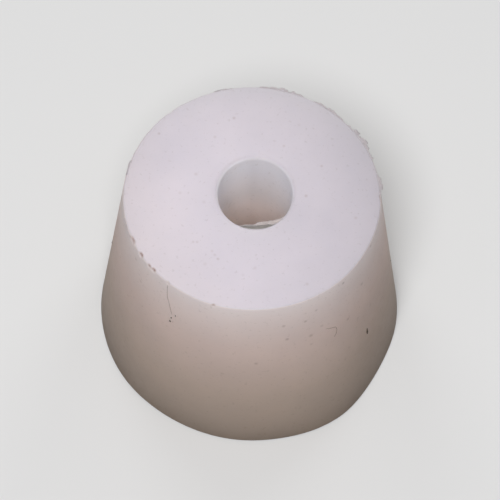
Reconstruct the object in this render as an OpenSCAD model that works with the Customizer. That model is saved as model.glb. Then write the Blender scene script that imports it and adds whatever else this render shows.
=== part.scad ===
// One-hole laboratory stopper: a tapered plug moulded in one piece.
// It stands on its wide end, with the origin at the centre of that end.
// The axis of the taper and of the hole is +Z.

/* [Taper] */
// Diameter across the wide end, before its edge is rounded
wide_d = 41; // [34:0.5:60]
// Diameter across the narrow end, before its edge is rounded
narrow_d = 33; // [20:0.5:40]
// Height between the two flat ends
height = 30; // [15:0.5:60]

/* [Hole] */
// Diameter of the hole that runs the whole length of the axis
bore_d = 10; // [3:0.25:24]
// Radius that rounds the hole into each flat end
mouth_r = 0.4; // [0.1:0.05:2]

/* [Edges] */
// Radius round the rim of the wide end
wide_edge_r = 0.3; // [0.1:0.05:4]
// Radius round the rim of the narrow end
narrow_edge_r = 0.25; // [0.1:0.05:3]

/* [Material] */
// Colour of the milky silicone rubber
silicone = "gainsboro"; // [gainsboro, white, tan, dimgray, indianred]

/* [Hidden] */
$fn = 128;

// How far a round laps over its tangent points, so that it leaves no sliver there
lap = 0.0001;

// Corners of the half section, as [distance from the axis, height]
wide_rim = [wide_d / 2, 0];
narrow_rim = [narrow_d / 2, height];
wide_mouth = [bore_d / 2, 0];
narrow_mouth = [bore_d / 2, height];

// Unit vector that points from one place to another
function toward(from, to) = (to - from) / norm(to - from);

// What a round of radius r cuts off the corner p, whose sides run to a and b.
// The round is tangent to both sides, whatever angle they make. The piece runs
// from the round's centre out past the corner, to twice the distance.
module corner_waste(p, a, b, r) {
    side_a = toward(p, a);
    side_b = toward(p, b);
    half_angle = acos(side_a * side_b) / 2;
    inward = toward([0, 0], side_a + side_b) * r / sin(half_angle);
    tangent_a = side_a * r / tan(half_angle) - inward;
    tangent_b = side_b * r / tan(half_angle) - inward;
    translate(p + inward) difference() {
        polygon([[0, 0], 2 * tangent_a, -2 * inward, 2 * tangent_b]);
        circle(r + lap);
    }
}

// Half section of the wall, between the hole and the tapered side
module wall_section() {
    difference() {
        polygon([wide_mouth, wide_rim, narrow_rim, narrow_mouth]);
        corner_waste(wide_mouth, narrow_mouth, wide_rim, mouth_r);
        corner_waste(wide_rim, wide_mouth, narrow_rim, wide_edge_r);
        corner_waste(narrow_rim, wide_rim, narrow_mouth, narrow_edge_r);
        corner_waste(narrow_mouth, narrow_rim, wide_mouth, mouth_r);
    }
}

// The whole stopper, the section turned once round the axis
module stopper() {
    color(silicone) rotate_extrude() wall_section();
}

stopper();
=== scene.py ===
"""A milky silicone rubber stopper with one hole, standing on its wide end on a pale studio floor.

The skin is one closed lathe grid that replaces the CAD solid. Its sizes are those of part.scad, but
for a softer round at the hole's narrow mouth. What is irregular is placed by its azimuth round the
axis, where 0 is +X and -90 faces the camera, and by its height. Lengths are in millimetres until
closed_mesh makes them metres.
"""

import math
import random

import bmesh
import bpy
import numpy as np
from mathutils import Matrix, Vector


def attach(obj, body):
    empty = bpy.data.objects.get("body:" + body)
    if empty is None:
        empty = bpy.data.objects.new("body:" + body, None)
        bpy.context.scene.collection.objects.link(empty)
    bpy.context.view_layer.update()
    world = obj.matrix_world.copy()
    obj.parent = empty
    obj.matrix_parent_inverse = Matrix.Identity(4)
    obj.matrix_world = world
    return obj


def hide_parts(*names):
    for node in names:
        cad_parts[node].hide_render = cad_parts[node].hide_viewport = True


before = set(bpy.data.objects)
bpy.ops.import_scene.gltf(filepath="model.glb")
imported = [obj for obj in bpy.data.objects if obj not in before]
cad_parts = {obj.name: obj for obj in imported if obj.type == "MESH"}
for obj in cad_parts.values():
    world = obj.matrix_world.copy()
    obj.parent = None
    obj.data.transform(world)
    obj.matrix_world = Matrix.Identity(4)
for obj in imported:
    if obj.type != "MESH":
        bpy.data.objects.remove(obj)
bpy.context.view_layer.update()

MM = 0.001

# ---------------------------------------------------------------- the moulded form

HEIGHT = 30.0
WIDE_R = 20.5
NARROW_R = 16.5
BORE_R = 5.0
WIDE_EDGE_R = 0.3
NARROW_EDGE_R = 0.25
WIDE_MOUTH_R = 0.4
NARROW_MOUTH_R = 0.6

# Where the wide end is out of round: [azimuth and half width in degrees, how far it stands out]
BASE_BULGES = [(-60, 18, 0.55), (-90, 16, 0.25), (-50, 8, 0.1), (-25, 14, -0.2)]

# How far the hole drifts off the axis at the narrow end, and how oval it is there
BORE_DRIFT = (0.41, 0.50)
BORE_OVAL = 0.2
# How far the side waves in and out all round
UNEVEN = 0.04

# Torn places in the narrow rim: [azimuth in degrees, length along the rim, depth, how dark its
# mark is, dirt and painted shade of the nick]
RIM_NICKS = [
    (-155.3, 1.1, 0.22, 0.75),
    (-147.0, 0.7, 0.26, 0.8),
    (-140.4, 0.5, 0.14, 0.55),
    (-137.6, 0.6, 0.24, 0.8),
    (-128.6, 0.4, 0.12, 0.25),
    (-105.7, 0.35, 0.1, 0.45),
    (1.5, 0.9, 0.16, 0.1),
    (53.0, 0.4, 0.1, 0.2),
    (131.0, 0.6, 0.08, 0.3),
]
# How far a nick's centre lies below the rim, how far the nick reaches up and down from there, and
# how ragged its depth is
NICK_DROP = 0.22
NICK_REACH = 0.28
NICK_RAGGED = 0.3
# How deep the rim is worn all round, how much deeper at its worst place, the azimuth and half width
# of that in degrees, and how far the wear reaches from the corner
WEAR = 0.012
WORST_WEAR = 0.03
WORST_WEAR_SPAN = (175, 50)
WEAR_REACH = 0.3

# Spans of the rim where the grid is finest, in degrees
FINE_SPANS = [(-159, -135), (-130, -127)]
FINE_STEP = 0.22
COARSE_STEP = 0.75

# Moulding flash left on the narrow rim: [first and last azimuth, width, droop]
RIM_FLASH = [
    (67, 88, 0.42, 0.02),
    (45, 62, 0.4, 0.06),
    (21, 42, 0.62, 0.12),
    (2, 14, 0.42, 0.05),
    (100, 109, 0.14, 0.0),
    (163, 171, 0.12, 0.0),
]
FLASH_STEP = 0.2
FLASH_THICK = 0.08
# How far the flash is rooted in the rim, how far below the flat end it lies, and how much thinner
# it is at its free edge
FLASH_ROOT = 0.2
FLASH_SUNK = 0.025
FLASH_TAPER = 0.75

# Torn flash in the mouth of the hole: a strand that bridges the camera's side, with a clear film
# between it and the wall. [azimuth and distance from the hole's own centre, as if the hole were
# round, half width]
MOUTH_STRAND = [
    (-114, 5.08, 0.05),
    (-105, 4.60, 0.07),
    (-98, 4.45, 0.08),
    (-91, 4.37, 0.09),
    (-88, 4.33, 0.12),
    (-86, 4.22, 0.22),
    (-80, 4.22, 0.25),
    (-72, 4.29, 0.26),
    (-66, 4.44, 0.29),
    (-60, 4.65, 0.33),
    (-54, 4.82, 0.31),
    (-48, 4.94, 0.2),
    (-42, 5.0, 0.1),
    (-37, 5.08, 0.05),
]
# How far below the flat end the strand lies, how flat its section is, and how uneven its width
STRAND_DROP = 0.45
STRAND_FLATNESS = 0.3
STRAND_UNEVEN = 0.15
FILM_THICK = 0.03
# How far the film reaches into the wall
FILM_ROOT = 0.15
# The azimuth where the strand meets the wall, so that the film ends
FILM_END = -57

# ---------------------------------------------------------------- small shapes


def flank_radius(height):
    """The radius of the true cone of the side."""
    return WIDE_R + (NARROW_R - WIDE_R) * height / HEIGHT


def swell(azimuth, centre, half_width):
    """A smooth hump of height 1 round a centre. All three are in degrees."""
    away = (azimuth - centre + 180) % 360 - 180
    return np.exp(-((away / half_width) ** 2))


def ripple(azimuth, lowest, highest, seed, fall=0.5):
    """A seamless random wave round the axis, about -1 to 1, of whole numbers of waves a turn."""
    draw = np.random.default_rng(seed)
    waves = np.unique(np.geomspace(lowest, highest, 24).round().astype(int))
    total, power = 0.0, 0.0
    for count in waves:
        height = (lowest / count) ** fall
        total = total + height * np.sin(np.radians(azimuth) * count + draw.uniform(0, 2 * math.pi))
        power += height * height / 2
    return total / (2 * math.sqrt(power))


def out_of_round(azimuth, height):
    """How far the side stands out from the true cone."""
    low = sum(out * swell(azimuth, centre, width) for centre, width, out in BASE_BULGES)
    return low * (1 - height / HEIGHT) + UNEVEN * ripple(azimuth, 3, 11, 1)


def graded(length, first, last, widest, growth=0.2):
    """Places from 0 to length. The steps grow from both ends towards the middle."""
    marks = [0.0]
    while marks[-1] < length:
        here = marks[-1]
        marks.append(here + min(widest, first + growth * here, last + growth * (length - here)))
    return np.array(marks) * length / marks[-1]


# ---------------------------------------------------------------- the skin


def corner_arc(corner, before, after, radius, steps):
    """Points of the round that is tangent to both sides of a corner, from before to after."""
    corner, before, after = (np.array(p, float) for p in (corner, before, after))
    side_a = (before - corner) / np.linalg.norm(before - corner)
    side_b = (after - corner) / np.linalg.norm(after - corner)
    half = math.acos(float(side_a @ side_b)) / 2
    middle = side_a + side_b
    centre = corner + middle / np.linalg.norm(middle) * radius / math.sin(half)
    start = corner + side_a * radius / math.tan(half) - centre
    end = corner + side_b * radius / math.tan(half) - centre
    first = math.atan2(start[1], start[0])
    sweep = (math.atan2(end[1], end[0]) - first + math.pi) % (2 * math.pi) - math.pi
    turns = first + sweep * np.linspace(0, 1, steps + 1)
    return [centre + radius * np.array([math.cos(a), math.sin(a)]) for a in turns]


def section():
    """The closed outline of the wall, as [distance from the axis, height] of each ring."""
    wide_mouth, wide_rim = (BORE_R, 0.0), (WIDE_R, 0.0)
    narrow_rim, narrow_mouth = (NARROW_R, HEIGHT), (BORE_R, HEIGHT)
    rounds = [
        corner_arc(wide_mouth, narrow_mouth, wide_rim, WIDE_MOUTH_R, 5),
        corner_arc(wide_rim, wide_mouth, narrow_rim, WIDE_EDGE_R, 6),
        corner_arc(narrow_rim, wide_rim, narrow_mouth, NARROW_EDGE_R, 6),
        corner_arc(narrow_mouth, narrow_rim, wide_mouth, NARROW_MOUTH_R, 8),
    ]
    # The first and last step after each round, and the widest between
    steps = [(0.2, 0.12, 1.4), (0.12, 0.06, 0.9), (0.06, 0.1, 0.9), (0.1, 0.15, 1.3)]
    rings = []
    for i, (arc, (first, last, widest)) in enumerate(zip(rounds, steps)):
        start, end = arc[-1], rounds[(i + 1) % 4][0]
        length = np.linalg.norm(end - start)
        inner = graded(length, first, last, widest)[1:-1]
        rings += arc + [start + (end - start) * t / length for t in inner]
    return np.array(rings)


def azimuths():
    """The azimuth of each column of the grid, finest where the rim is torn."""
    marks = [-180.0]
    while marks[-1] < 180:
        gap = min(max(a - marks[-1], marks[-1] - b, 0) for a, b in FINE_SPANS)
        marks.append(marks[-1] + min(COARSE_STEP, FINE_STEP + 0.1 * gap))
    marks = np.array(marks)
    return (marks[:-1] - marks[0]) * 360 / (marks[-1] - marks[0]) - 180


def roughen_rim(azimuth, radius, height):
    """Moves the points near the narrow rim inwards and down, into its nicks and its worn edge."""
    from_side = flank_radius(height) - radius
    from_corner = np.hypot(from_side, height - HEIGHT)
    worn = WEAR + WORST_WEAR * swell(azimuth, *WORST_WEAR_SPAN)
    worn = worn * (1 + ripple(azimuth, 30, 130, 2)) * np.exp(-((from_corner / WEAR_REACH) ** 2))
    from_nick = np.hypot(from_side, height - HEIGHT + NICK_DROP)
    cut = 0.0
    for centre, length, deepest, _ in RIM_NICKS:
        along = ((azimuth - centre + 180) % 360 - 180) * math.pi / 180 * NARROW_R
        ragged = 1 + NICK_RAGGED * ripple(azimuth, 200, 700, 3)
        cut = cut + deepest * ragged / (1 + (2 * along / length) ** 4)
    cut = cut * np.exp(-((from_nick / NICK_REACH) ** 2))
    # The wear goes in and down alike
    return radius - cut - 0.7 * worn, height - 0.7 * worn


def lathe_quads(ring_count, column_count):
    """The faces of a grid that closes on itself both round the axis and round its section."""
    i, j = np.meshgrid(np.arange(ring_count), np.arange(column_count), indexing="ij")
    i2, j2 = (i + 1) % ring_count, (j + 1) % column_count
    corners = [(i, j), (i, j2), (i2, j2), (i2, j)]
    quads = np.stack([ring * column_count + column for ring, column in corners], axis=2)
    return quads.reshape(-1, 4).tolist()


def skin_mesh():
    """The whole skin: the section turned round the axis, then bulged, drifted, nicked and worn."""
    rings, columns = section(), azimuths()
    azimuth, radius = np.meshgrid(columns, rings[:, 0])
    _, height = np.meshgrid(columns, rings[:, 1])
    outer = np.clip((radius - BORE_R) / (flank_radius(height) - BORE_R), 0, 1)
    radius = radius + outer * out_of_round(azimuth, height)
    inner = (1 - outer) * height / HEIGHT
    radius = radius - inner * BORE_OVAL * np.cos(2 * np.radians(azimuth))
    on_rim = (outer > 0.8) & (height > HEIGHT / 2)
    moved = roughen_rim(azimuth, radius, height)
    radius, height = (np.where(on_rim, new, old) for new, old in zip(moved, (radius, height)))
    turn = np.radians(azimuth)
    across = radius * np.cos(turn) + inner * BORE_DRIFT[0]
    along = radius * np.sin(turn) + inner * BORE_DRIFT[1]
    points = np.stack([across, along, height], axis=2)
    return closed_mesh("stopper_skin", points.reshape(-1, 3), lathe_quads(*radius.shape))


# ---------------------------------------------------------------- meshes in general


def closed_mesh(name, points, faces):
    """A smooth-shaded mesh from points in millimetres, with its faces turned outwards."""
    mesh = bpy.data.meshes.new(name)
    mesh.from_pydata((np.asarray(points) * MM).tolist(), [], faces)
    work = bmesh.new()
    work.from_mesh(mesh)
    bmesh.ops.recalc_face_normals(work, faces=work.faces)
    work.to_mesh(mesh)
    work.free()
    mesh.shade_smooth()
    return mesh


def add_piece(name, mesh, material):
    """A piece that rides on the stopper's only body."""
    piece = bpy.data.objects.new(name, mesh)
    bpy.context.scene.collection.objects.link(piece)
    mesh.materials.append(material)
    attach(piece, "root")
    return piece


def loft(sections):
    """The points and faces of a closed bar through sections of equally many points."""
    points = np.concatenate(sections)
    count, sides = len(sections), len(sections[0])
    faces = []
    for i in range(count - 1):
        for j in range(sides):
            a, b = i * sides + j, i * sides + (j + 1) % sides
            faces.append((a, b, b + sides, a + sides))
    faces.append(tuple(range(sides)))
    faces.append(tuple(range((count - 1) * sides, count * sides)))
    return points, faces


def joined(parts):
    """One list of points and one of faces from several."""
    points, faces, start = [], [], 0
    for part_points, part_faces in parts:
        points.append(part_points)
        faces += [tuple(start + v for v in face) for face in part_faces]
        start += len(part_points)
    return np.concatenate(points), faces


# ---------------------------------------------------------------- flash


def fin(first, last, width, droop):
    """A ragged fin of flash along a span of the narrow rim, thin at its free edge."""
    stations = np.arange(first, last, FLASH_STEP)
    ends = np.sin(np.linspace(0, math.pi, len(stations))) ** 0.4
    torn = np.clip(0.62 + 0.7 * ripple(stations, 25, 500, 5), 0.1, 1.0)
    sections = []
    for azimuth, wide in zip(stations, width * ends * torn):
        out = wide + FLASH_ROOT
        turn = math.radians(azimuth)
        rim = NARROW_R - FLASH_ROOT + float(out_of_round(azimuth, HEIGHT))
        upper, lower = [], []
        for share in (0, 0.4, 0.75, 1):
            half = FLASH_THICK / 2 * (1 - FLASH_TAPER * share)
            drop = droop * share**2 * wide / width
            level = HEIGHT - FLASH_SUNK - FLASH_THICK / 2 - drop
            upper.append((rim + out * share, level + half))
            lower.append((rim + out * share, level - half))
        ring = upper + lower[::-1]
        sections.append(np.array([(r * math.cos(turn), r * math.sin(turn), z) for r, z in ring]))
    return loft(sections)


def strand_stations(count=110):
    """Azimuth, distance from the hole's centre and half width along the strand in the mouth."""
    knots = np.array(MOUTH_STRAND, float)
    azimuth = np.linspace(knots[0, 0], knots[-1, 0], count)
    distance = np.interp(azimuth, knots[:, 0], knots[:, 1])
    half = np.interp(azimuth, knots[:, 0], knots[:, 2])
    smooth = np.hanning(9) / np.hanning(9).sum()
    distance = np.convolve(np.pad(distance, 4, "edge"), smooth, "valid")
    return azimuth, distance, half * (1 + STRAND_UNEVEN * ripple(azimuth, 20, 120, 6))


def in_mouth(azimuth, places):
    """Points from pairs of [distance from the hole's centre, height] at one azimuth."""
    turn = math.radians(azimuth)
    ring = []
    for distance, height in places:
        drift = height / HEIGHT
        distance -= drift * BORE_OVAL * math.cos(2 * turn)
        x = distance * math.cos(turn) + drift * BORE_DRIFT[0]
        y = distance * math.sin(turn) + drift * BORE_DRIFT[1]
        ring.append((x, y, height))
    return np.array(ring)


def mouth_strand():
    """The flat strand that hangs across the near side of the mouth, with its ends in the wall."""
    sections = []
    turns = np.radians(np.arange(0, 360, 36))
    for azimuth, distance, half in zip(*strand_stations()):
        level = HEIGHT - STRAND_DROP
        rise = half * STRAND_FLATNESS
        ring = [(distance + half * math.cos(a), level + rise * math.sin(a)) for a in turns]
        sections.append(in_mouth(azimuth, ring))
    return loft(sections)


def mouth_film():
    """The film between the strand and the wall of the hole, which both hold its edges."""
    sections = []
    for azimuth, distance, _ in zip(*strand_stations()):
        if azimuth > FILM_END:
            break
        wall = max(BORE_R + FILM_ROOT, distance + 0.05)
        level = HEIGHT - STRAND_DROP
        corners = [(wall, FILM_THICK / 2), (distance, FILM_THICK / 2)]
        corners += [(distance, -FILM_THICK / 2), (wall, -FILM_THICK / 2)]
        sections.append(in_mouth(azimuth, [(r, level + z) for r, z in corners]))
    return loft(sections)


# ---------------------------------------------------------------- materials


def node(tree, kind, inputs=None, **settings):
    """A new node with its settings, its inputs given as values or as sockets to link from."""
    made = tree.nodes.new(kind)
    for name, value in settings.items():
        setattr(made, name, value)
    for name, value in (inputs or {}).items():
        if isinstance(value, bpy.types.NodeSocket):
            tree.links.new(value, made.inputs[name])
        else:
            made.inputs[name].default_value = value
    return made


def calculate(tree, operation, a, b):
    return node(tree, "ShaderNodeMath", {0: a, 1: b}, operation=operation).outputs[0]


def mix_colours(tree, factor, a, b, blend="MIX"):
    inputs = {"Factor": factor, "A": a, "B": b}
    made = node(tree, "ShaderNodeMix", inputs, data_type="RGBA", blend_type=blend, clamp_result=True)
    return made.outputs["Result"]


def map_range(tree, value, low, high, to_low=0.0, to_high=1.0, smooth=True):
    inputs = {"Value": value, "From Min": low, "From Max": high, "To Min": to_low, "To Max": to_high}
    kind = "SMOOTHSTEP" if smooth else "LINEAR"
    return node(tree, "ShaderNodeMapRange", inputs, interpolation_type=kind).outputs["Result"]


def component(tree, vector, axis):
    return node(tree, "ShaderNodeSeparateXYZ", {0: vector}).outputs[axis]


def noise(tree, place, size, detail=2.0):
    """Noise whose lumps are about size millimetres across, 0 to 1."""
    inputs = {"Vector": place, "Scale": 1 / (size * MM), "Detail": detail}
    return node(tree, "ShaderNodeTexNoise", inputs).outputs["Fac"]


def ramp(tree, factor, stops):
    """A colour that changes with a factor, through stops of [factor, colour]."""
    made = node(tree, "ShaderNodeValToRGB", {"Fac": factor})
    elements = made.color_ramp.elements
    while len(elements) < len(stops):
        elements.new(0.5)
    for element, (position, colour) in zip(elements, stops):
        element.position = position
        element.color = (*colour, 1)
    return made.outputs["Color"]


def new_material(name):
    material = bpy.data.materials.new(name)
    material.use_nodes = True
    return material, material.node_tree, material.node_tree.nodes["Principled BSDF"]


# How silicone bends and reflects light, how much of it goes deep into the rubber, how deep that is
# where the rubber is thick and where it is thin, and its tint there
IOR = 1.41
SPECULAR = 0.35
SCATTER_SHARE = 0.38
SCATTER_DEPTH = 50
THIN_SCATTER_DEPTH = 1
SCATTER_TINT = (1.0, 0.89, 0.78)

# Colours of the flat ends from the hole to the rim
END_STOPS = [
    (0.0, (0.775, 0.70, 0.765)),
    (1.0, (0.71, 0.64, 0.70)),
]
# Colours of the side and of the hole's wall, from the wide end to the narrow end. The side's are
# partly painted shade: darker and warmer towards the wide end, for light that fades down the rubber
FLANK_COLOUR_AND_SHADE = [
    (0.0, (0.46, 0.35, 0.275)),
    (0.35, (0.605, 0.47, 0.395)),
    (0.7, (0.81, 0.628, 0.573)),
    (0.92, (0.90, 0.735, 0.705)),
    (1.0, (0.925, 0.78, 0.765)),
]
# The hole's wall is partly painted shade: its tones by depth follow the light and shade inside the hole
BORE_COLOUR_AND_SHADE = [
    (0.0, (0.85, 0.68, 0.62)),
    (0.45, (0.95, 0.76, 0.70)),
    (0.6, (0.86, 0.735, 0.70)),
    (0.72, (0.79, 0.73, 0.73)),
    (0.93, (0.81, 0.785, 0.84)),
    (1.0, (0.83, 0.79, 0.845)),
]
# The flat ends are painted lighter to the camera's left, as painted light from that side: the
# direction in which they grow darker, and the tint along it
END_PAINTED_LIGHT_WAY = (0.92, 0.39, 0)
END_PAINTED_LIGHT_STOPS = [
    (0.0, (1.03, 1.0, 0.965)),
    (0.3, (0.935, 0.935, 0.94)),
    (1.0, (0.77, 0.78, 0.78)),
]
# The wall of the hole is painted lighter to the camera's left, as painted light: its tint from the
# right to the left
BORE_PAINTED_LIGHT = [
    (0.0, (1.05, 1.05, 1.05)),
    (0.25, (0.94, 0.94, 0.94)),
    (0.5, (0.92, 0.92, 0.92)),
    (0.7, (1.08, 1.07, 1.06)),
    (1.0, (1.2, 1.18, 1.16)),
]
# How far outside the hole the colour of its wall gives way to that of the side
BORE_MARGIN = (0.5, 3)
# Slow clouds and fine specks that darken the rubber a little
CLOUD_SIZE = 7.0
CLOUDS = [(0.3, (0.93, 0.94, 0.95)), (0.7, (1, 1, 1))]
FLECK_SIZE = 0.5
FLECKS = [(0.27, (0.91, 0.90, 0.89)), (0.38, (1, 1, 1))]
# The fine unevenness of the surface: its height, and the sizes of its lumps
BUMP_HEIGHT = 0.012
BUMP_SIZES = (2.5, 0.35)
BUMP_STRENGTH = 0.6
# How rough the rubber is, from its smoothest to its dullest places, and how large those are
ROUGHNESS = (0.55, 0.7)
ROUGH_SIZE = 1.2

# The same rubber where it is thin: [shade, clearness, roughness, tint]
FLASH_RUBBER = (0.74, 0.3, 0.45, (1.0, 0.90, 0.93))
STRAND_RUBBER = (0.62, 0.2, 0.5, (1.0, 0.87, 0.84))
FILM_RUBBER = (0.5, 0.6, 0.4, (1.0, 0.94, 0.88))

# The two mingled colours of dust and of lint
DUST_COLOURS = ((0.045, 0.03, 0.02), (0.16, 0.12, 0.09))
LINT_COLOURS = ((0.26, 0.165, 0.14), (0.42, 0.30, 0.26))

# The colour of dirt, and of the painted shade in the nicks
DIRT_AND_NICK_SHADE = (0.30, 0.18, 0.15, 1)
MOST_DARKENING = 0.9
# The dark mark in a nick, partly dirt and partly painted shade of its hollow: the radius of each
# mark and how much it grows with the nick, and its share of the nick's own strength
NICK_MARK = 0.26
NICK_MARK_GROWTH = 0.2
NICK_MARK_SHARE = 0.65

# Faint marks in the narrow face: [x, y, radius, strength]
FACE_MARKS = [
    (-12.26, 8.97, 0.3, 0.3),
    (-2.59, 11.63, 0.35, 0.3),
    (-4.98, 8.66, 0.35, 0.18),
    (-7.26, 3.0, 0.4, 0.18),
    (-9.22, 0.12, 0.35, 0.14),
    (-6.1, -1.13, 0.4, 0.12),
    (-7.3, -7.0, 0.3, 0.2),
    (-6.8, -7.0, 0.3, 0.2),
    (-4.87, -8.26, 0.3, 0.18),
    (-4.5, -8.8, 0.3, 0.2),
    (-4.08, -9.39, 0.3, 0.25),
    (-5.7, -10.15, 0.4, 0.12),
    (0.62, -10.55, 0.35, 0.14),
    (-0.87, -11.59, 0.35, 0.1),
    (13.3, -2.9, 0.35, 0.2),
    (7.2, -12.65, 0.35, 0.2),
    (8.89, 4.68, 0.3, 0.28),
    (6.93, 0.16, 0.35, 0.3),
    (3.99, 7.55, 0.3, 0.22),
    (5.89, 10.81, 0.35, 0.12),
    (3.7, 3.85, 0.4, 0.22),
]

# Smudges on the side: [azimuth, height, radius, strength]
SIDE_MARKS = [
    (-158.0, 29.6, 0.35, 0.3),
    (-149.7, 27.8, 0.4, 0.25),
    (-144.0, 24.9, 0.4, 0.2),
    (-63.2, 22.0, 0.5, 0.45),
    (-63.2, 20.1, 0.4, 0.4),
    (-73.6, 22.8, 0.4, 0.5),
    (-75.0, 25.8, 0.4, 0.35),
    (-65.3, 25.5, 0.35, 0.5),
    (-57.9, 23.0, 0.4, 0.35),
    (-44.4, 20.5, 0.4, 0.45),
    (-59.9, 18.2, 0.35, 0.35),
    (-60.0, 26.9, 0.35, 0.3),
    (-86.6, 18.2, 0.4, 0.4),
    (-45.0, 28.9, 0.35, 0.5),
    (-33.4, 24.5, 0.45, 0.3),
    (-23.0, 29.2, 0.35, 0.4),
]


def mark_centres():
    """The centre, radius and strength of every mark, in millimetres."""
    centres = [((x, y, HEIGHT), size, strength) for x, y, size, strength in FACE_MARKS]
    for azimuth, height, size, strength in SIDE_MARKS:
        turn, radius = math.radians(azimuth), flank_radius(height)
        centre = (radius * math.cos(turn), radius * math.sin(turn), height)
        centres.append((centre, size, strength))
    for azimuth, length, depth, strength in RIM_NICKS:
        size = NICK_MARK + NICK_MARK_GROWTH * length
        radius = flank_radius(HEIGHT - NICK_DROP) - 0.4 * depth
        for along in (-0.3, 0, 0.3):
            turn = math.radians(azimuth) + along * length / NARROW_R
            centre = (radius * math.cos(turn), radius * math.sin(turn), HEIGHT - NICK_DROP)
            centres.append((centre, size, NICK_MARK_SHARE * strength))
    return centres


def marks(tree, place):
    """How dark each point is, 0 to 1: dirt, and painted shade in the nicks."""
    total = 0.0
    for centre, size, strength in mark_centres():
        inputs = {0: place, 1: tuple(c * MM for c in centre)}
        away = node(tree, "ShaderNodeVectorMath", inputs, operation="DISTANCE").outputs["Value"]
        total = calculate(tree, "ADD", total, map_range(tree, away, 0.0, size * MM, strength, 0.0))
    return calculate(tree, "MINIMUM", total, MOST_DARKENING)


def distance_from_axis(tree, place):
    """How far each point lies from the axis of the stopper, in metres."""
    flat = node(tree, "ShaderNodeVectorMath", {0: place, 1: (1, 1, 0)}, operation="MULTIPLY")
    return node(tree, "ShaderNodeVectorMath", {0: flat.outputs[0]}, operation="LENGTH").outputs["Value"]


def side_colour(tree, place, from_axis):
    """The colour of the side and of the hole's wall by height, partly painted shade, with painted light
    on the hole's left wall.
    """
    level = map_range(tree, component(tree, place, "Z"), 0.0, HEIGHT * MM, smooth=False)
    near, far = ((BORE_R + margin) * MM for margin in BORE_MARGIN)
    outside = map_range(tree, from_axis, near, far)
    leftwards = map_range(tree, component(tree, place, "X"), BORE_R * MM, -BORE_R * MM, smooth=False)
    # glow is painted light on the hole's left wall
    bore, glow = ramp(tree, level, BORE_COLOUR_AND_SHADE), ramp(tree, leftwards, BORE_PAINTED_LIGHT)
    bore = mix_colours(tree, 1.0, bore, glow, "MULTIPLY")
    return mix_colours(tree, outside, bore, ramp(tree, level, FLANK_COLOUR_AND_SHADE))


def end_colour(tree, place, from_axis):
    """The colour of the flat ends, from the hole to the rim, with painted light that makes them lighter
    to the camera's left.
    """
    to_rim = map_range(tree, from_axis, BORE_R * MM, NARROW_R * MM, smooth=False)
    inputs = {0: place, 1: END_PAINTED_LIGHT_WAY}
    sideways = node(tree, "ShaderNodeVectorMath", inputs, operation="DOT_PRODUCT").outputs["Value"]
    across = map_range(tree, sideways, -NARROW_R * MM, NARROW_R * MM, smooth=False)
    # milky is painted light: lighter to the camera's left
    plain, milky = ramp(tree, to_rim, END_STOPS), ramp(tree, across, END_PAINTED_LIGHT_STOPS)
    return mix_colours(tree, 1.0, plain, milky, "MULTIPLY")


def set_scatter(shader, depth):
    """Gives a shader the rubber's refraction, and its scattering to a depth in millimetres."""
    shader.inputs["IOR"].default_value = IOR
    shader.inputs["Subsurface Weight"].default_value = SCATTER_SHARE
    shader.inputs["Subsurface Radius"].default_value = SCATTER_TINT
    shader.inputs["Subsurface Scale"].default_value = depth * MM


def silicone():
    """The milky rubber of the stopper: colour by place with painted shade and light, clouds, flecks,
    dirt, painted shade in the nicks and a fine bump.
    """
    material, tree, shader = new_material("silicone")
    coordinates = node(tree, "ShaderNodeTexCoord").outputs
    place = coordinates["Object"]
    from_axis = distance_from_axis(tree, place)
    facing = calculate(tree, "ABSOLUTE", component(tree, coordinates["Normal"], "Z"), 0.0)
    flat_end = map_range(tree, facing, 0.3, 0.9)
    sides, ends = side_colour(tree, place, from_axis), end_colour(tree, place, from_axis)
    colour = mix_colours(tree, flat_end, sides, ends)
    clouds = ramp(tree, noise(tree, place, CLOUD_SIZE, 3.0), CLOUDS)
    colour = mix_colours(tree, 1.0, colour, clouds, "MULTIPLY")
    flecks = ramp(tree, noise(tree, place, FLECK_SIZE), FLECKS)
    colour = mix_colours(tree, 1.0, colour, flecks, "MULTIPLY")
    colour = mix_colours(tree, marks(tree, place), colour, DIRT_AND_NICK_SHADE)
    tree.links.new(colour, shader.inputs["Base Color"])
    rough = map_range(tree, noise(tree, place, ROUGH_SIZE, 3.0), 0.3, 0.7, *ROUGHNESS)
    tree.links.new(rough, shader.inputs["Roughness"])
    coarse, fine = BUMP_SIZES
    skin = calculate(tree, "ADD", noise(tree, place, coarse), noise(tree, place, fine, 3.0))
    inputs = {"Height": skin, "Distance": BUMP_HEIGHT * MM, "Strength": BUMP_STRENGTH}
    bump = node(tree, "ShaderNodeBump", inputs)
    tree.links.new(bump.outputs["Normal"], shader.inputs["Normal"])
    shader.inputs["Specular IOR Level"].default_value = SPECULAR
    set_scatter(shader, SCATTER_DEPTH)
    return material


def thin_silicone(name, shade, clearness, roughness, tint):
    """The same rubber where it is thin enough to see through."""
    material, tree, shader = new_material(name)
    place = node(tree, "ShaderNodeTexCoord").outputs["Object"]
    cloudy = noise(tree, place, 0.8, 3.0)
    light = tuple(shade * c for c in tint)
    dark = tuple(0.85 * c for c in light)
    colour = ramp(tree, cloudy, [(0.3, dark), (0.7, light)])
    tree.links.new(colour, shader.inputs["Base Color"])
    rough = map_range(tree, cloudy, 0.3, 0.7, 0.8 * roughness, 1.2 * roughness)
    tree.links.new(rough, shader.inputs["Roughness"])
    shader.inputs["Transmission Weight"].default_value = clearness
    set_scatter(shader, THIN_SCATTER_DEPTH)
    return material


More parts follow.
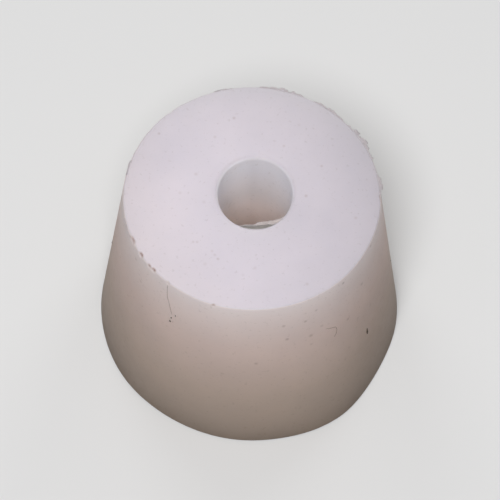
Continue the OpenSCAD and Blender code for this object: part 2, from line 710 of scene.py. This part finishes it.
def dull(name, dark, light):
    """A dull material of two mingled colours, for what sticks to the rubber."""
    material, tree, shader = new_material(name)
    place = node(tree, "ShaderNodeTexCoord").outputs["Object"]
    grain = noise(tree, place, 0.3, 3.0)
    tree.links.new(ramp(tree, grain, [(0.3, dark), (0.7, light)]), shader.inputs["Base Color"])
    tree.links.new(map_range(tree, grain, 0.3, 0.7, 0.7, 0.95), shader.inputs["Roughness"])
    return material


# ---------------------------------------------------------------- dust and lint

# Dark specks that stick to the rubber: [azimuth, height, length, width, lean in degrees]
DUST = [
    (-33.3, 12.95, 1.5, 0.34, 2),
    (-124.7, 23.05, 0.32, 0.24, 0),
    (-125.1, 22.2, 0.5, 0.22, -15),
    (-122.8, 24.0, 0.5, 0.1, -10),
]

# A curled bit of lint and a long hair that lie on the side: [azimuth, height] of each point
CURL = [
    (-56.2, 21.95),
    (-54.6, 21.6),
    (-53.0, 21.35),
    (-51.2, 21.0),
    (-50.8, 20.3),
    (-51.3, 19.6),
    (-52.5, 19.1),
]
CURL_THICK = 0.06
LONG_HAIR = [
    (-128.5, 29.4),
    (-128.4, 28.3),
    (-127.9, 26.9),
    (-126.7, 25.9),
    (-125.5, 24.7),
    (-124.6, 23.8),
]
LONG_HAIR_THICK = 0.05

# Crumbs of torn rubber: [azimuth, height, length, width, lean in degrees]
CRUMBS = [
    (-125.7, 21.95, 0.5, 0.2, -10),
    (-123.9, 22.4, 0.45, 0.18, 5),
    (-167.4, 29.6, 0.35, 0.22, 60),
    (-165.2, 29.55, 0.3, 0.2, 20),
    (-163.4, 29.75, 0.4, 0.26, 80),
    (-161.8, 29.6, 0.25, 0.18, 40),
    (-160.3, 29.5, 0.4, 0.2, 100),
]

# How many specks are scattered over the far half of the side
SCATTERED = 36


def side_place(azimuth, height, lift=0.0):
    """A point on the side, its outward normal, and the directions along and up the side."""
    turn = math.radians(azimuth)
    radius = flank_radius(height) + float(out_of_round(azimuth, height)) + lift
    round_it = np.array([-math.sin(turn), math.cos(turn), 0.0])
    outward = np.array([math.cos(turn), math.sin(turn), 0.0])
    up = outward * (NARROW_R - WIDE_R) + np.array([0.0, 0.0, HEIGHT])
    up /= np.linalg.norm(up)
    return outward * radius + np.array([0.0, 0.0, height]), np.cross(round_it, up), round_it, up


def lump(centre, normal, along, across, length, width, lean, draw):
    """A small uneven crumb that lies half sunk in the surface."""
    ball = bmesh.new()
    bmesh.ops.create_icosphere(ball, subdivisions=2, radius=1.0)
    lean = math.radians(lean)
    main = across * math.cos(lean) + along * math.sin(lean)
    side = np.cross(main, normal)
    points = []
    for vertex in ball.verts:
        x, y, z = np.array(vertex.co) * draw.uniform(0.75, 1.15)
        points.append(centre + main * x * length / 2 + side * y * width / 2 + normal * z * width / 3)
    faces = [tuple(v.index for v in face.verts) for face in ball.faces]
    ball.free()
    return np.array(points), faces


def side_lumps(places, draw):
    """A crumb at each place, given as azimuth, height, length, width and lean."""
    parts = []
    for azimuth, height, length, width, lean in places:
        centre, normal, round_it, up = side_place(azimuth, height)
        parts.append(lump(centre, normal, round_it, up, length, width, lean, draw))
    return parts


def scattered_specks(draw):
    """Specks at random over the far half of the side."""
    parts = []
    for _ in range(SCATTERED):
        azimuth, height = draw.uniform(0, 180), HEIGHT * draw.uniform(0.05, 0.97)
        length = draw.uniform(0.1, 0.34)
        width = length * draw.uniform(0.35, 0.8)
        parts += side_lumps([(azimuth, height, length, width, draw.uniform(0, 180))], draw)
    return parts


def hair(thick, places):
    """A hair through points of the side, as a thin tube with six sides and narrow ends."""
    knots = np.array(places, float)
    spread = np.linspace(0, len(knots) - 1, 12 * (len(knots) - 1) + 1)
    azimuth = np.interp(spread, np.arange(len(knots)), knots[:, 0])
    height = np.interp(spread, np.arange(len(knots)), knots[:, 1])
    middle = [side_place(a, h, 0.2 * thick) for a, h in zip(azimuth, height)]
    centres = np.array([m[0] for m in middle])
    forward = np.gradient(centres, axis=0)
    sections = []
    for i, (centre, normal, _, _) in enumerate(middle):
        ahead = forward[i] / np.linalg.norm(forward[i])
        sideways = np.cross(ahead, normal)
        girth = thick / 2 * min(1.0, 0.25 + 0.2 * min(i, len(middle) - 1 - i))
        turns = np.radians(np.arange(0, 360, 60))
        ring = [centre + girth * (math.cos(a) * sideways + math.sin(a) * normal) for a in turns]
        sections.append(np.array(ring))
    return loft(sections)


# ---------------------------------------------------------------- the stopper


def make_stopper():
    """The skin that stands in for the CAD solid, and what sticks to it."""
    rubber = silicone()
    dark = dull("dust", *DUST_COLOURS)
    fibre = dull("lint", *LINT_COLOURS)
    thin = thin_silicone("thin_silicone", *FLASH_RUBBER)
    strand_rubber = thin_silicone("strand_silicone", *STRAND_RUBBER)
    clear = thin_silicone("clear_silicone", *FILM_RUBBER)
    draw = random.Random(7)
    skin = add_piece("stopper_skin", skin_mesh(), rubber)
    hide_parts("stopper")
    flash = closed_mesh("rim_flash", *joined([fin(*span) for span in RIM_FLASH]))
    strand = closed_mesh("mouth_strand", *mouth_strand())
    film = closed_mesh("mouth_film", *mouth_film())
    crumbs = closed_mesh("rubber_crumbs", *joined(side_lumps(CRUMBS, draw)))
    rubber_pieces = [
        skin,
        add_piece("rim_flash", flash, thin),
        add_piece("mouth_strand", strand, strand_rubber),
        add_piece("mouth_film", film, clear),
        add_piece("rubber_crumbs", crumbs, rubber),
    ]
    specks = joined(side_lumps(DUST, draw) + scattered_specks(draw))
    add_piece("dust_specks", closed_mesh("dust_specks", *specks), dark)
    hairs = joined([hair(CURL_THICK, CURL), hair(LONG_HAIR_THICK, LONG_HAIR)])
    add_piece("lint", closed_mesh("lint", *hairs), fibre)


# ---------------------------------------------------------------- the studio

# The flat floor, the sweep that curves up from its edge and the wall above that, in metres
FLOOR_R = 0.8
SWEEP_R = 0.3
WALL_TOP = 0.5
SWEEP_SIDES = 96
# The floor's colour to the camera, and its colour to the light that it throws back
PALE = (0.72, 0.72, 0.72, 1)
BOUNCE = (0.08, 0.08, 0.08, 1)
# How bright the floor and the wall look out of the lamps' reach, and the distances from the middle
# at which that starts and is full, in metres
FAR_GLOW = 0.69
FAR_FROM = 0.15
FAR_FULL = 0.6


def pale_floor():
    """Pale to the eye and in reflections, and dark to the light that it throws back at the object.

    Near the object the lamps light it, so that it keeps the shadow. Farther off it is one even tone.
    """
    material, tree, shader = new_material("pale_floor")
    path = node(tree, "ShaderNodeLightPath").outputs
    seen = calculate(tree, "MAXIMUM", path["Is Camera Ray"], path["Is Glossy Ray"])
    seen = calculate(tree, "MAXIMUM", seen, path["Is Transmission Ray"])
    place = node(tree, "ShaderNodeTexCoord").outputs["Object"]
    from_middle = node(tree, "ShaderNodeVectorMath", {0: place}, operation="LENGTH")
    far = map_range(tree, from_middle.outputs["Value"], FAR_FROM, FAR_FULL)
    lit = calculate(tree, "MULTIPLY", seen, calculate(tree, "SUBTRACT", 1.0, far))
    glow = calculate(tree, "MULTIPLY", calculate(tree, "MULTIPLY", seen, far), FAR_GLOW)
    tree.links.new(mix_colours(tree, lit, BOUNCE, PALE), shader.inputs["Base Color"])
    tree.links.new(glow, shader.inputs["Emission Strength"])
    shader.inputs["Emission Color"].default_value = (1, 1, 1, 1)
    shader.inputs["Roughness"].default_value = 0.9
    shader.inputs["Specular IOR Level"].default_value = 0.0
    material.cycles.emission_sampling = "NONE"
    return material


def make_backdrop():
    """A round floor that curves up into a low wall, so that every view ends on it."""
    profile = [(FLOOR_R * t, 0.0) for t in (0.25, 0.5, 0.75, 1.0)]
    for a in np.radians(np.linspace(7.5, 90, 12)):
        profile.append((FLOOR_R + SWEEP_R * math.sin(a), SWEEP_R * (1 - math.cos(a))))
    profile.append((FLOOR_R + SWEEP_R, WALL_TOP))
    points, faces = [(0.0, 0.0, 0.0)], []
    for r, z in profile:
        for k in range(SWEEP_SIDES):
            a = 2 * math.pi * k / SWEEP_SIDES
            points.append((r * math.cos(a), r * math.sin(a), z))
    for k in range(SWEEP_SIDES):
        faces.append((0, 1 + k, 1 + (k + 1) % SWEEP_SIDES))
    for ring in range(len(profile) - 1):
        for k in range(SWEEP_SIDES):
            a = 1 + ring * SWEEP_SIDES + k
            b = 1 + ring * SWEEP_SIDES + (k + 1) % SWEEP_SIDES
            faces.append((a, a + SWEEP_SIDES, b + SWEEP_SIDES, b))
    mesh = bpy.data.meshes.new("floor")
    mesh.from_pydata(points, [], faces)
    mesh.shade_smooth()
    mesh.materials.append(pale_floor())
    floor = bpy.data.objects.new("floor", mesh)
    bpy.context.scene.collection.objects.link(floor)


# Soft round lamps, all aimed at the origin: [name, place and width in metres, power]
LAMPS = [
    ("key", (-0.05, -0.28, 0.57), 0.26, 3.0),
    ("left fill", (-0.24, 0.50, 0.20), 0.35, 0.85),
    ("right fill", (0.30, 0.47, 0.20), 0.35, 0.85),
]
WORLD_STRENGTH = 0.29


def make_lights():
    """A key over the camera, two low fills behind for the far side, and an even white world."""
    for name, place, width, power in LAMPS:
        lamp = bpy.data.lights.new(name, "AREA")
        lamp.shape = "DISK"
        lamp.size = width
        lamp.energy = power
        light = bpy.data.objects.new(name, lamp)
        light.location = place
        light.rotation_mode = "QUATERNION"
        light.rotation_quaternion = (-Vector(place)).to_track_quat("-Z", "Y")
        bpy.context.scene.collection.objects.link(light)
    world = bpy.data.worlds.new("studio")
    world.use_nodes = True
    background = world.node_tree.nodes["Background"]
    background.inputs["Color"].default_value = (1, 1, 1, 1)
    background.inputs["Strength"].default_value = WORLD_STRENGTH
    bpy.context.scene.world = world


# ---------------------------------------------------------------- the camera

# The view that was fitted to the photo: angles in degrees, places in millimetres
CAMERA_ELEVATION = 60.98
CAMERA_ROLL = 1.45
CAMERA_DISTANCE = 335.3
CAMERA_AIM = (-0.07, 0.0, 15.63)
# The focal length and the width of the photo in pixels, and the width of the sensor
FOCAL_PX = 2520
FRAME_PX = 500
SENSOR = 36.0


def make_camera():
    """The camera at the photo's viewing angle."""
    data = bpy.data.cameras.new("camera")
    data.sensor_width = SENSOR
    data.lens = FOCAL_PX / FRAME_PX * SENSOR
    data.clip_start = 0.01
    data.clip_end = 20
    camera = bpy.data.objects.new("camera", data)
    elevation = math.radians(CAMERA_ELEVATION)
    back = Vector((0, -math.cos(elevation), math.sin(elevation)))
    camera.location = (Vector(CAMERA_AIM) + back * CAMERA_DISTANCE) * MM
    roll = Matrix.Rotation(math.radians(CAMERA_ROLL), 3, "Z")
    camera.rotation_mode = "QUATERNION"
    camera.rotation_quaternion = ((-back).to_track_quat("-Z", "Y").to_matrix() @ roll).to_quaternion()
    bpy.context.scene.collection.objects.link(camera)
    bpy.context.scene.camera = camera


make_stopper()
make_backdrop()
make_lights()
make_camera()
bpy.context.scene.view_settings.view_transform = "Standard"
